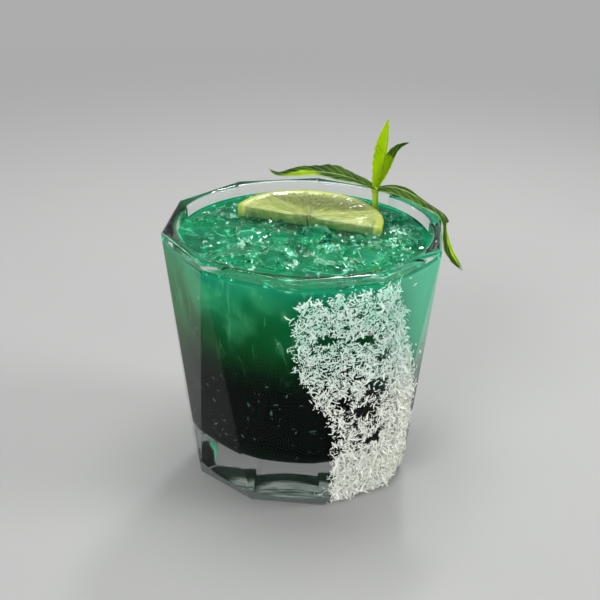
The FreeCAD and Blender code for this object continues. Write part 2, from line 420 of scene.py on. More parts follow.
def murky_drink():
    """The drink's body: painted shade, deep green, below; cloudy teal and painted light where the ice
    lies.
    """
    f = Finish("murky_drink")
    height = f.height(DRINK_LEVEL * MM)
    wisps = f.cloud(f.stretched(f.place, (1.0, 1.0, 0.55)), 42.0, 4.0, 0.55, 0.6)
    slow = f.cloud(f.place, 17.0, 2.0, 0.5)
    sway = (slow - 0.5) * 0.13 + (wisps - 0.5) * 0.06
    level = height + sway - 0.008
    # painted shade and light: nearly black low down, lighter towards the top where light comes through
    # the ice
    stops = [
        (0.18, paint(6, 20, 13)),
        (0.25, paint(0, 4, 2)),
        (0.50, paint(0, 4, 2)),
        (0.575, paint(0, 22, 6)),
        (0.64, paint(0, 44, 12)),
        (0.72, paint(0, 66, 24)),
        (0.80, paint(0, 78, 34)),
        (0.88, paint(0, 92, 52)),
        (0.94, paint(0, 106, 76)),
        (1.0, paint(14, 120, 94)),
    ]
    body = f.ramp(level, stops)
    across = f.part(f.place, "X")
    # painted light: the thin edges of the drink on either hand are painted lighter, as light that comes
    # through them
    right_glow = f.step(across, 0.019, 0.038)
    left_glow = f.step(across, -0.029, -0.042)
    lit = f.step(height, 0.34, 0.72)
    right_tone = f.mix(lit, paint(36, 62, 52), paint(86, 176, 142))
    left_tone = f.mix(lit, paint(10, 22, 12), paint(34, 122, 54))
    right_low = f.step(height + sway, 0.28, 0.5)
    body = f.mix(right_glow * right_low * 0.85, body, right_tone)
    body = f.mix(left_glow * 0.6, body, left_tone)
    # cloudy ice lying against the wall
    lumps = f.cells(f.stretched(f.place, (1.0, 1.0, 0.7)), 62.0, "SMOOTH_F1")
    ice_high = f.step(height + sway * 2.0, 0.66, 0.9)
    patch = f.step(lumps, 0.62, 0.28) * ice_high
    body = f.mix(patch * 0.26, body, paint(40, 158, 118))
    # painted light: pale patches on the upper left side of the drink
    side_light = f.step(across, 0.006, -0.024) * f.step(height, 0.62, 0.86)
    side_light_patches = f.step(f.cloud(f.stretched(f.place, (1.0, 1.0, 0.8)), 60.0, 3.0, 0.5, 1.0), 0.44, 0.68)
    body = f.mix(side_light * side_light_patches * 0.32, body, paint(70, 176, 120))
    # painted sheen: pale streaks across the upper half of the drink
    streak = f.cloud(f.stretched(f.place, (2.4, 2.4, 0.5)), 120.0, 3.0, 0.6, 1.2)
    painted_sheen = f.step(streak, 0.57, 0.72) * f.step(height, 0.5, 0.8)
    body = f.mix(painted_sheen * 0.22, body, paint(110, 196, 140))
    # the top of the drink, between the pieces of ice, with painted shade where it lies deeper
    top = f.step(f.facing_up(), 0.35, 0.7) * f.step(height, 0.8, 0.85)
    depth = f.step(height, 0.925, 0.985)
    veil = f.cloud(f.place, 150.0, 4.0, 0.6, 0.8)
    pool = f.mix(depth, paint(0, 34, 24), paint(2, 122, 86))
    pool = f.mix(f.step(veil, 0.4, 0.75), pool, paint(2, 106, 78))
    # painted highlights: pale broken lines round the sunk lumps of ice
    whirl = f.node("ShaderNodeTexNoise", sockets={"Vector": f.place, "Scale": 90.0}, out="Color")
    bent = f.vector("SCALE", {0: whirl, "Scale": 0.006})
    warped = f.vector("ADD", {0: f.place, 1: bent})
    outline = f.step(f.cells(warped, 78.0, "DISTANCE_TO_EDGE"), 0.045, 0.0)
    broken_highlight = f.step(f.cloud(f.place, 210.0, 2.0), 0.45, 0.62)
    pool = f.mix(outline * broken_highlight * 0.7, pool, paint(126, 208, 178))
    body = f.mix(top, body, pool)
    # the underside, seen through the base, is painted paler towards its middle and streaked, as painted
    # light coming through the base
    beneath = f.step(height, 0.180, 0.174)
    off_axis = f.vector("LENGTH", {0: f.stretched(f.place, (1.0, 1.0, 0.0))}, "Value")
    light_streaks = f.cloud(f.stretched(f.place, (0.5, 2.4, 1.0)), 110.0, 3.0, 0.6, 0.8)
    middle = f.step(off_axis + (light_streaks - 0.5) * 0.012, 0.0165, 0.0125)
    pale = f.mix(f.step(light_streaks, 0.4, 0.6), paint(96, 120, 108), paint(214, 222, 216))
    under = f.mix(middle, paint(16, 48, 34), pale)
    body = f.mix(beneath, body, under)
    shape = f.bump(wisps, 0.0008, 0.3)
    skin = f.surface(Base_Color=body, Roughness=0.5, Specular_IOR_Level=0.05, Normal=shape)
    return f.done(skin)


def drink_surface():
    """The wet, rippled film of clear green drink round the ice."""
    f = Finish("drink_surface")
    ripple = f.cloud(f.place, 210.0, 2.0, 0.5, 0.3)
    wet = f.bump(ripple, 0.0004, 0.5)
    film = f.surface(
        Base_Color=(0.30, 0.84, 0.70, 1.0),
        Roughness=0.0,
        IOR=1.33,
        Transmission_Weight=1.0,
        Normal=wet,
    )
    return f.done_clear(film, (0.75, 0.96, 0.88, 1.0))


def cracked_ice(name, tint, milk, milkiness):
    """Wet cracked ice: clear at its edges, with cloudy veils and cracks of trapped air inside."""
    f = Finish(name)
    veil = f.cloud(f.place, 150.0, 4.0, 0.6, 1.0)
    crack = f.cells(f.place, 150.0, "DISTANCE_TO_EDGE")
    dents = f.cloud(f.place, 240.0, 2.0, 0.5)
    wet = f.bump(dents, 0.0004, 0.4)
    clear = f.surface(
        Base_Color=tint,
        Roughness=0.02,
        IOR=1.31,
        Transmission_Weight=1.0,
        Normal=wet,
    )
    cloudy = f.surface(Base_Color=milk, Roughness=0.12, Coat_Weight=1.0, Normal=wet)
    seam = f.step(crack, 0.03, 0.0)
    share = f.step(veil, 0.45, 0.75) * milkiness + seam * 0.3
    body = f.blend(share, clear, cloudy)
    return f.done_clear(body, (0.86, 0.97, 0.93, 1.0))


def air_bubble():
    """Thin round skins of drink with air inside."""
    f = Finish("air_bubble")
    cast = f.cloud(f.place, 300.0, 2.0)
    tone = f.mix(cast, (0.75, 0.98, 0.90, 1.0), (0.95, 1.0, 0.98, 1.0))
    skin = f.surface(Base_Color=tone, Roughness=0.02, IOR=1.2, Transmission_Weight=1.0)
    return f.done(skin)


def shred_white():
    """Coconut: dry and white low down, wet and tinted by painted green light over the bright part of the
    drink.
    """
    f = Finish("coconut_shred")
    height = f.height(MM)
    tuft = f.cloud(f.place, 260.0, 3.0)
    fibre = f.cloud(f.stretched(f.place, (1.0, 1.0, 0.3)), 1900.0, 3.0, 0.7)
    dry_tones = (paint(242, 246, 234), paint(252, 253, 244), paint(255, 255, 250))
    # painted light: the wet tones are tinted green by the drink's light showing through
    wet_drink_lit_tones = (paint(192, 238, 218), paint(224, 250, 238), paint(246, 254, 250))
    places = (0.3, 0.5, 0.7)
    dry = f.ramp(tuft, list(zip(places, dry_tones)))
    wet = f.ramp(tuft, list(zip(places, wet_drink_lit_tones)))
    tone = f.mix(f.step(height + (tuft - 0.5) * 30.0, 34.0, 66.0), dry, wet)
    tone = f.mix(f.step(fibre, 0.45, 0.7) * 0.2, tone, paint(186, 208, 198))
    rough = f.bump(fibre, 0.00012, 0.5)
    skin = f.surface(Base_Color=tone, Roughness=0.5, Specular_IOR_Level=0.4, Normal=rough)
    return f.done_thin(skin, tone, 0.1)


def sunk_crumb():
    """Coconut crumbs seen through the drink, with painted shade that darkens them low down."""
    f = Finish("sunk_crumb")
    height = f.height(DRINK_LEVEL * MM)
    tuft = f.cloud(f.place, 500.0, 2.0)
    # painted shade: dark low in the drink, greener and paler higher up where the drink is painted
    # lighter
    deep = f.mix(f.step(tuft, 0.35, 0.65), paint(20, 40, 30), paint(66, 92, 78))
    shallow_lit = f.mix(f.step(tuft, 0.35, 0.65), paint(30, 110, 76), paint(120, 190, 160))
    tone = f.mix(f.step(height, 0.55, 0.9), deep, shallow_lit)
    return f.done(f.surface(Base_Color=tone, Roughness=0.6, Specular_IOR_Level=0.1))


def lime_flesh():
    """Cut lime by its own map: U runs round the half-wheel and V from its core to its rind."""
    f = Finish("lime_flesh")
    chart = f.node("ShaderNodeUVMap", {"uv_map": "chart"})
    around = f.part(chart, "X")
    outward = f.part(chart, "Y")
    flow = f.node("ShaderNodeCombineXYZ", sockets={0: around * 46.0, 1: outward * 7.0, 2: 0.0})
    sacs = f.cells(flow, 1.0, "F1")
    skins = f.cells(flow, 1.0, "DISTANCE_TO_EDGE")
    drift = f.cloud(f.place, 160.0, 3.0)
    # painted light and shade: the top face is painted lighter and the cut front face darker, by which
    # way each faces
    flat = f.step(f.facing_up(), 0.2, 0.8)
    painted_lit = f.mix(f.step(sacs, 0.1, 0.6), paint(162, 182, 84), paint(204, 216, 128))
    cut = f.mix(f.step(sacs, 0.1, 0.6), paint(92, 126, 62), paint(120, 150, 80))
    pulp = f.mix(flat, cut, painted_lit)
    pulp = f.mix(f.step(drift, 0.4, 0.65) * 0.5, pulp, paint(160, 182, 84))
    pulp = f.mix(f.step(skins, 0.09, 0.0) * 0.16, pulp, paint(214, 224, 156))
    membrane = f.node("ShaderNodeAttribute", {"attribute_name": "membrane"}, out="Fac")
    pulp = f.mix(membrane * 0.6, pulp, paint(206, 218, 150))
    speckle = f.cloud(f.place, 1500.0, 2.0)
    # painted glints: small pale flecks on the top of the outer flesh, near the rind
    painted_glints = f.step(speckle, 0.58, 0.68) * f.step(outward, 0.55, 0.8) * flat
    pulp = f.mix(painted_glints * 0.6, pulp, paint(242, 248, 214))
    pith = f.step(outward, 0.875, 0.915)
    pale = f.mix(f.cloud(f.place, 700.0, 2.0), paint(214, 224, 124), paint(232, 236, 142))
    tone = f.mix(pith, pulp, pale)
    rind = f.step(outward, 0.935, 0.965)
    pores = f.cells(f.place, 750.0)
    green = f.mix(f.step(pores, 0.1, 0.45), paint(172, 184, 60), paint(212, 222, 90))
    tone = f.mix(rind, tone, green)
    height = f.height(MM)
    soaked = f.step(height, DRINK_LEVEL + 2.6, DRINK_LEVEL - 0.2)
    tone = f.mix(soaked * 0.6, tone, paint(70, 150, 92))
    wet_height = sacs * (1.0 - rind) + pores * rind * 0.6 + speckle * (1.0 - rind) * 0.5
    bumps = f.bump(wet_height, 0.0005, 0.6)
    gleam = f.step(drift, 0.4, 0.6, 0.08, 0.26)
    skin = f.surface(
        Base_Color=tone,
        Roughness=gleam,
        Coat_Weight=0.35,
        Coat_Roughness=0.05,
        Specular_IOR_Level=0.5,
        Normal=bumps,
    )
    return f.done_thin(skin, tone, 0.25)


def mint_leaf(name, shady, sunny, low, high, glow, side=0.0):
    """A mint leaf by its own map, U from stalk to tip and V from edge to edge.

    Shady and sunny are its dark, middle and bright tones. It is sunny from low to high along U: on both
    halves, or only on the one that side points to. Glow is the share of light that comes through it.
    """
    f = Finish(name)
    chart = f.node("ShaderNodeUVMap", {"uv_map": "chart"})
    along = f.part(chart, "X")
    sideways = f.part(chart, "Y") - 0.5
    across = f.single("ABSOLUTE", sideways) * 2.0
    saw = f.single("FRACT", along * SIDE_VEINS - across * VEIN_SLANT + 20.0)
    from_vein = f.single("ABSOLUTE", saw - 0.5) * 2.0
    side_vein = f.step(from_vein, 0.80, 0.97) * f.step(across, 0.98, 0.8)
    midrib = f.step(across, 0.11, 0.04)
    net = f.cells(f.place, 900.0, "DISTANCE_TO_EDGE")
    patchy = f.cloud(f.place, 130.0, 3.0)
    drift = along + (patchy - 0.5) * 0.3
    sun = f.step(drift, low - 0.04, low + 0.04) * f.step(drift, high + 0.04, high - 0.04)
    if side:
        sun = sun * f.step(sideways * side + (patchy - 0.5) * 0.4, -0.12, 0.0)
    base, lift, light = (f.mix(sun, shade, bright) for shade, bright in zip(shady, sunny))
    blade = f.mix(f.step(patchy, 0.35, 0.65), base, lift)
    blade = f.mix(f.step(net, 0.06, 0.0) * 0.25, blade, lift)
    blade = f.mix(side_vein * 0.5, blade, light)
    blade = f.mix(midrib * 0.8, blade, light)
    hem = f.step(across, 0.86, 0.99)
    blade = f.mix(hem * 0.75, blade, light)
    tip = f.step(along, 0.955, 0.99)
    blade = f.mix(tip * 0.7, blade, paint(206, 220, 190))
    pillow = (1.0 - from_vein) ** 0.5
    dents = f.bump(pillow + f.step(net, 0.0, 0.12) * 0.25, 0.00022, 0.6)
    skin = f.surface(Base_Color=blade, Roughness=0.5, Specular_IOR_Level=0.08, Normal=dents)
    return f.done_thin(skin, f.mix(0.35, blade, light), glow)


def mint_stem():
    """A soft, square, bright green stem with fine ribs."""
    f = Finish("mint_stem")
    height = f.height(MM)
    ribs = f.cloud(f.stretched(f.place, (1.0, 1.0, 0.08)), 1500.0, 2.0)
    stops = [(0.0, paint(150, 206, 84)), (0.5, paint(196, 232, 76)), (1.0, paint(206, 236, 70))]
    tone = f.ramp(f.step(height, 80.0, 92.0), stops)
    tone = f.mix(f.step(ribs, 0.4, 0.65) * 0.4, tone, paint(128, 170, 36))
    fine = f.bump(ribs, 0.00015, 0.5)
    skin = f.surface(Base_Color=tone, Roughness=0.4, Specular_IOR_Level=0.4, Normal=fine)
    return f.done_thin(skin, tone, 0.45)


def floor_paint():
    """Matt pale studio floor with a trace of mottling."""
    f = Finish("floor_paint")
    mottle = f.cloud(f.place, 14.0, 4.0)
    tone = f.mix(mottle, paint(166, 167, 166), paint(171, 171, 170))
    matt = f.surface(Base_Color=tone, Roughness=0.85, Specular_IOR_Level=0.1)
    backdrop = f.node("ShaderNodeEmission", sockets={"Color": paint(172, 173, 172), "Strength": 1.0})
    away = f.vector("LENGTH", {0: f.place}, "Value")
    far = f.step(away, 0.2, 0.7)
    seen = f.node("ShaderNodeLightPath", out="Is Camera Ray")
    seen = seen + f.node("ShaderNodeLightPath", out="Is Glossy Ray")
    seen = seen + f.node("ShaderNodeLightPath", out="Is Transmission Ray")
    return f.done(f.blend(far * seen, matt, backdrop))


# ---------------------------------------------------------------- camera, lights, floor


def set_stage():
    """A pale floor, soft lamps and the camera."""
    scene = bpy.context.scene
    scene.view_settings.view_transform = "Standard"
    world = bpy.data.worlds.new("studio")
    scene.world = world
    world.use_nodes = True
    sky = Bench(world.node_tree)
    direction = sky.node("ShaderNodeTexCoord", out="Generated")
    up = sky.node("ShaderNodeSeparateXYZ", sockets={0: direction}, out="Z")
    stops = [(0.0, 0.52), (0.5, 0.52), (0.55, 0.42), (0.64, 0.16), (0.85, 0.22), (1.0, 0.30)]
    tone = sky.node("ShaderNodeValToRGB", {"stops": stops}, {0: up * 0.5 + 0.5})
    glow = sky.node("ShaderNodeBackground", sockets={"Color": tone, "Strength": 1.0})
    sky.node("ShaderNodeOutputWorld", sockets={"Surface": glow})

    finish = floor_paint()
    reach = 3.0
    corners = [(-reach, -reach, 0), (reach, -reach, 0), (reach, reach, 0), (-reach, reach, 0)]
    floor = piece("floor", corners, [(0, 1, 2, 3)], finish, smooth=False)

    aim = point(0, 0, 60)
    soft_box("key_lamp", Vector((-0.42, -0.72, 0.50)), aim, 0.40, 0.40, 4.6)
    soft_box("top_lamp", Vector((0.0, 0.14, 0.78)), aim, 0.50, 0.34, 3.6)
    soft_box("back_lamp", Vector((0.10, 0.52, 0.60)), aim, 0.08, 0.06, 1.9)
    soft_box("edge_lamp", Vector((-0.55, 0.30, 0.20)), aim, 0.05, 0.26, 0.3)
    soft_box("foot_lamp", Vector((0.10, -0.60, 0.06)), point(0, 0, 20), 0.40, 0.03, 0.5)
    soft_box("side_lamp", Vector((0.72, -0.05, 0.40)), aim, 0.26, 0.40, 3.4)

    lens = bpy.data.cameras.new("camera")
    lens.lens = 67.08
    lens.sensor_width = 36.0
    lens.clip_start = 0.01
    camera = bpy.data.objects.new("camera", lens)
    scene.collection.objects.link(camera)
    scene.camera = camera
    stand = Vector((-0.00081, -0.34490, 0.22009))
    tilt = math.radians(25.18)
    lean = 0.0295
    back = Vector((0, -math.cos(tilt), math.sin(tilt)))
    right = Vector((1, 0, 0))
    up = Vector((0, math.sin(tilt), math.cos(tilt)))
    across = right + up * lean
    above = up - right * lean
    turned = Matrix((across.normalized(), above.normalized(), back)).transposed()
    camera.matrix_world = Matrix.Translation(stand) @ turned.to_4x4()


def soft_box(name, place, aim, width, height, power):
    """A rectangular lamp turned to face a place."""
    lamp = bpy.data.lights.new(name, "AREA")
    lamp.shape = "RECTANGLE"
    lamp.size = width
    lamp.size_y = height
    lamp.energy = power
    made = bpy.data.objects.new(name, lamp)
    bpy.context.scene.collection.objects.link(made)
    made.location = place
    made.rotation_euler = (aim - place).to_track_quat("-Z", "Y").to_euler()
    return made


# ---------------------------------------------------------------- drink

FILM_DEPTH = 3.2  # of clear drink over the murky body
MURK_LUMPS = 2.6  # how much the top of the murky body goes up and down
FILM_FLOOR = 3.4  # how far the film's hidden underside lies below the murky body's mean top
WALL_BITE = 0.18  # how far the drink reaches into the glass, so that no air shows


def profile_radii(low, high, count):
    """Heights and bowl radii of a stack of rings."""
    rings = []
    for step in range(count + 1):
        z = low + (high - low) * step / count
        rings.append((z, bowl_radius(clamp(z, BOWL_FLOOR + 0.02, DRINK_LEVEL + 3))))
    return rings


def lathe(rings, around):
    """Corners and side faces of a turned body from (z, radius) rings, bottom to top."""
    corners = []
    for z, radius in rings:
        for step in range(around):
            corners.append(compass(radius, 360 * step / around, z))
    return corners, grid_faces(len(rings) - 1, around, closed=True)


def close_ends(corners, faces, around, bottom, top):
    """Closes a turned body with fans of faces to a middle below and a middle above."""
    last = len(corners) - around
    middle = len(corners)
    corners += [bottom, top]
    for step in range(around):
        after = (step + 1) % around
        faces.append((middle, after, step))
        faces.append((middle + 1, last + step, last + after))


def make_murk(finish):
    """The opaque body of the drink, filled to the wall, with an uneven top under the clear film."""
    around = 144
    underside = BOWL_FLOOR - 0.05
    above_floor = BOWL_FLOOR + 0.02
    brim = DRINK_LEVEL - 0.25
    rings = [(underside, bowl_radius(above_floor) * share) for share in (0.15, 0.4, 0.7, 0.95)]
    for share in np.linspace(0.0, 1.0, 12) ** 1.7:
        z = above_floor + 8.0 * share
        rings.append((z, bowl_radius(z) + WALL_BITE))
    for z, radius in profile_radii(BOWL_FLOOR + 9.5, brim, 40):
        rings.append((z, radius + WALL_BITE))
    rim = rings[-1][1]
    first_top = len(rings)
    for inset in (0.5, 1.2, 2.2, 3.4):
        rings.append((brim, rim - inset))
    radius = rim - 4.4
    while radius > 1.0:
        rings.append((brim, radius))
        radius -= 0.62
    corners, faces = lathe(rings, around)
    for ring in range(first_top, len(rings)):
        inset = rim - rings[ring][1]
        sink = min(inset / 3.0, 1.0)
        sink = sink * sink * (3 - 2 * sink)
        for step in range(around):
            corner = corners[ring * around + step]
            lump = noise.noise(corner * 105) * 0.5 + noise.noise(corner * 260 + Vector((3, 1, 7))) * 0.22
            corner.z -= sink * (FILM_DEPTH + MURK_LUMPS * lump) * MM
    middle_z = sum(corner.z for corner in corners[-around:]) / around
    close_ends(corners, faces, around, point(0, 0, underside), Vector((0, 0, middle_z)))
    return piece("murk", corners, faces, finish)


def make_film(finish, lumps):
    """Clear drink over the body: rippled, and drawn up at the wall and round each lump of ice."""
    around = 330
    ice_tree = joined_tree(lumps)
    wall = bowl_radius(DRINK_LEVEL) + WALL_BITE * 0.6
    rings = []
    low = DRINK_LEVEL - FILM_DEPTH - FILM_FLOOR
    for share in (0.3, 0.65, 0.93):
        rings.append((low, wall * share))
    for z in (low + 0.4, DRINK_LEVEL - 2.0, DRINK_LEVEL + 0.72):
        rings.append((z, bowl_radius(z) + WALL_BITE * 0.6))
    first_top = len(rings)
    inset = 0.12
    while wall - inset > 0.8:
        climb = 0.9 * math.exp(-inset / 0.75)
        rings.append((DRINK_LEVEL + climb, wall - inset))
        inset += 0.15 if inset < 1.5 else 0.33
    corners, faces = lathe(rings, around)
    for ring in range(first_top, len(rings)):
        fade = min((wall - rings[ring][1]) / 2.0, 1.0)
        for step in range(around):
            corner = corners[ring * around + step]
            swell = noise.noise(corner * 90 + Vector((5, 2, 0))) * 0.34
            swell += noise.noise(corner * 240 + Vector((1, 8, 3))) * 0.14
            spot, outward, _, away = ice_tree.find_nearest(corner, 3.0 * MM)
            if spot is not None:
                away /= MM
                if (corner - spot).dot(outward) < 0 and away > 0.3:
                    swell = -FILM_DEPTH - 2.6
                elif away < 2.5:
                    swell += 0.5 * math.exp(-away / 0.45)
            corner.z += swell * fade * MM
    close_ends(corners, faces, around, point(0, 0, low), Vector((0, 0, corners[-around].z)))
    return piece("drink_film", corners, faces, finish)


# ---------------------------------------------------------------- ice


def melted(name, source, grain, finish):
    """A CAD lump of ice, worn round by melting."""
    mesh = source.data.copy()
    made = bpy.data.objects.new(name, mesh)
    bpy.context.scene.collection.objects.link(made)
    worked = bmesh.new()
    worked.from_mesh(mesh)
    bmesh.ops.remove_doubles(worked, verts=worked.verts, dist=1e-6)
    worked.to_mesh(mesh)
    worked.free()
    rough = made.modifiers.new("grain", "REMESH")
    rough.mode = "VOXEL"
    rough.voxel_size = grain * MM
    soft = made.modifiers.new("worn", "SMOOTH")
    soft.factor = 0.6
    soft.iterations = 4
    settle(made)
    mesh = made.data
    seed = Vector((len(name), ord(name[-1]), 3.0))
    for vertex in mesh.vertices:
        place = vertex.co
        dent = noise.noise(place * 150 + seed) * 0.3 + noise.noise(place * 420 + seed) * 0.06
        vertex.co = place + vertex.normal * dent * MM
    mesh.materials.clear()
    mesh.materials.append(finish)
    mesh.polygons.foreach_set("use_smooth", [True] * len(mesh.polygons))
    mesh.update()
    return made


# ---------------------------------------------------------------- scattering


class Scatter(Bench):
    """A geometry tree that strews copies of small shapes over a surface and ends as a plain mesh."""

    def __init__(self, name):
        self.group = bpy.data.node_groups.new(name, "GeometryNodeTree")
        super().__init__(self.group)
        self.group.interface.new_socket("Geometry", in_out="INPUT", socket_type="NodeSocketGeometry")
        self.group.interface.new_socket("Geometry", in_out="OUTPUT", socket_type="NodeSocketGeometry")
        self.sizes = {}

    def size(self, label, kind="NodeSocketFloat"):
        """A named input of the tree."""
        socket = self.group.interface.new_socket(label, in_out="INPUT", socket_type=kind)
        self.sizes[label] = socket.identifier
        return label

    def start(self):
        self.source = self.tree.nodes.new("NodeGroupInput")

    def given(self, label):
        return Wire(self, self.source.outputs[label])

    def chance(self, kind, low, high, shift):
        """A random number or vector between two limits, by the tree's seed and a shift of it."""
        first, out = (0, 0) if kind == "FLOAT_VECTOR" else (2, 1)
        sockets = {first: low, first + 1: high, "Seed": self.given("Seed") + shift}
        return self.node("FunctionNodeRandomValue", {"data_type": kind}, sockets, out)


def strew_tree(name):
    """Strews a collection's shapes by a weight, turned to the surface and tipped at random."""
    s = Scatter(name)
    for label in ("Density", "Gap", "Smallest", "Largest", "Tip", "Sink", "Lift"):
        s.size(label)
    s.size("Seed", "NodeSocketInt")
    s.size("Shapes", "NodeSocketCollection")
    s.size("Finish", "NodeSocketMaterial")
    s.start()
    weight = s.node("GeometryNodeInputNamedAttribute", sockets={"Name": "weight"}, out="Attribute")
    strewn = s.tree.nodes.new("GeometryNodeDistributePointsOnFaces")
    strewn.distribute_method = "POISSON"
    for label, value in (
        ("Mesh", s.given("Geometry")),
        ("Distance Min", s.given("Gap")),
        ("Density Max", s.given("Density")),
        ("Density Factor", weight),
        ("Seed", s.given("Seed")),
    ):
        s.tree.links.new(value.socket, strewn.inputs[label])
    points = Wire(s, strewn.outputs["Points"])
    normal = Wire(s, strewn.outputs["Normal"])
    facing = Wire(s, strewn.outputs["Rotation"])
    rise = s.chance("FLOAT", s.given("Sink"), s.given("Lift"), 3)
    shift = s.vector("SCALE", {0: normal, "Scale": rise})
    moved = s.node("GeometryNodeSetPosition", sockets={"Geometry": points, "Offset": shift})
    shapes = s.node(
        "GeometryNodeCollectionInfo",
        {"transform_space": "ORIGINAL"},
        {"Collection": s.given("Shapes"), "Separate Children": True, "Reset Children": True},
    )
    spin = s.chance("FLOAT_VECTOR", (0.0, 0.0, 0.0), (0.0, 0.0, 2 * math.pi), 5)
    tip = s.node("ShaderNodeCombineXYZ", sockets={0: s.given("Tip"), 1: s.given("Tip"), 2: 0.0})
    tilt = s.chance("FLOAT_VECTOR", s.vector("SCALE", {0: tip, "Scale": -1.0}), tip, 7)
    turn = s.vector("ADD", {0: spin, 1: tilt})
    turned = s.node(
        "FunctionNodeRotateRotation",
        {"rotation_space": "LOCAL"},
        {"Rotation": facing, "Rotate By": turn},
    )
    length = s.chance("FLOAT", s.given("Smallest"), s.given("Largest"), 11)
    laid = s.node(
        "GeometryNodeInstanceOnPoints",
        sockets={
            "Points": moved,
            "Instance": shapes,
            "Pick Instance": True,
            "Rotation": turned,
            "Scale": length,
        },
    )
    solid = s.node("GeometryNodeRealizeInstances", sockets={"Geometry": laid})
    finish = s.given("Finish")
    painted = s.node("GeometryNodeSetMaterial", sockets={"Geometry": solid, "Material": finish})
    s.node("NodeGroupOutput", sockets={0: painted})
    return s


def shape_set(name, shapes):
    """A collection of small pattern shapes, kept out of the scene."""
    kept = bpy.data.collections.new(name)
    for number, (corners, faces, smooth) in enumerate(shapes):
        mesh = bpy.data.meshes.new(f"{name}_{number}")
        mesh.from_pydata([tuple(c) for c in corners], [], faces)
        turn_outwards(mesh)
        mesh.polygons.foreach_set("use_smooth", [smooth] * len(mesh.polygons))
        kept.objects.link(bpy.data.objects.new(f"{name}_{number}", mesh))
    return kept


def clear_shapes(kept):
    """Removes a collection of pattern shapes and their meshes."""
    for pattern in list(kept.objects):
        mesh = pattern.data
        bpy.data.objects.remove(pattern)
        bpy.data.meshes.remove(mesh)
    bpy.data.collections.remove(kept)


def spread(density, gap, scale, tip, lie):
    """How pieces are strewn: the most to a square metre, and the least gap in millimetres.

    The scale is from one number to another, tip is the largest tilt in radians, and the pieces lie from
    one height over the surface to another, in millimetres.
    """
    sizes = {"Density": density, "Gap": gap * MM, "Tip": tip}
    sizes["Smallest"], sizes["Largest"] = scale
    sizes.update({"Sink": lie[0] * MM, "Lift": lie[1] * MM})
    return sizes


def strew(tree, name, ground, shapes, finish, **sizes):
    """Strews shapes over a copy of a ground mesh and keeps only the shapes."""
    made = bpy.data.objects.new(name, ground.copy())
    bpy.context.scene.collection.objects.link(made)
    worker = made.modifiers.new("strew", "NODES")
    worker.node_group = tree.group
    values = dict(sizes, Shapes=shapes, Finish=finish)
    for label, value in values.items():
        worker[tree.sizes[label]] = value
    return settle(made)


def ground_mesh(name, corners, faces, weights):
    """A surface to strew over, with a weight for each corner."""
    mesh = bpy.data.meshes.new(name)
    mesh.from_pydata([tuple(c) for c in corners], [], faces)
    share_out(mesh, "weight", weights)
    return mesh


# ---------------------------------------------------------------- lime

LIME_RADIUS = 25.5
LIME_THICKNESS = 5.0
LIME_LIFT = 3.7  # of its top over the drink
LIME_GAP = 6.1  # between the peel and the bowl
LIME_SIDEWAYS = -1.9  # of its centre, along its cut edge
LIME_TURN = -17.2  # degrees about the upright axis
LIME_TILT = 1.4  # degrees down to the right
LIME_SEGMENTS = 5
LIME_PEEL = 2.4  # pith and peel together
PEEL_ROUNDING = 0.9


def lime_centre():
    """The middle of the slice's cut edge, at the drink's level."""
    turn = Matrix.Rotation(math.radians(LIME_TURN), 3, "Z")
    inward = bowl_radius(DRINK_LEVEL) - LIME_RADIUS - LIME_GAP
    return turn @ point(LIME_SIDEWAYS, inward, 0) + point(0, 0, DRINK_LEVEL)


def lime_frame():
    """The place and turn of the slice, from the middle of its cut edge at the underside."""
    tip = Matrix.Rotation(math.radians(LIME_TILT), 4, "Y")
    turn = Matrix.Rotation(math.radians(LIME_TURN), 4, "Z")
    under = lime_centre() + point(0, 0, LIME_LIFT - LIME_THICKNESS)
    return Matrix.Translation(under) @ tip @ turn


def membrane_share(angle, radius):
    """How near a place on the cut face is to one of the bowed membranes, 0 to 1."""
    step = 180 / LIME_SEGMENTS
    bow = 1.6 * math.sin(angle * 0.11) * (radius / LIME_RADIUS)
    line = clamp(round((angle + bow) / step), 1, LIME_SEGMENTS - 1) * step
    to_line = abs(angle + bow - line)
    gap = math.radians(to_line) * radius
    return math.exp(-((gap / 0.42) ** 2))


def lime_height(angle, radius):
    """Height of the cut face above the flat of the slice, in millimetres."""
    peel = LIME_RADIUS - LIME_PEEL
    wall = membrane_share(angle, radius)
    flesh = 0.30 * lumpy(angle * 0.42, radius * 0.16, 2.0)
    flesh += 0.13 * lumpy(angle * 1.3, radius * 0.5, 9.0)
    sag = -0.42 + flesh
    near_peel = clamp(radius - peel + 0.9)
    blend = max(wall, near_peel)
    return sag * (1 - blend) + 0.06 * lumpy(angle, radius, 4.0) * blend


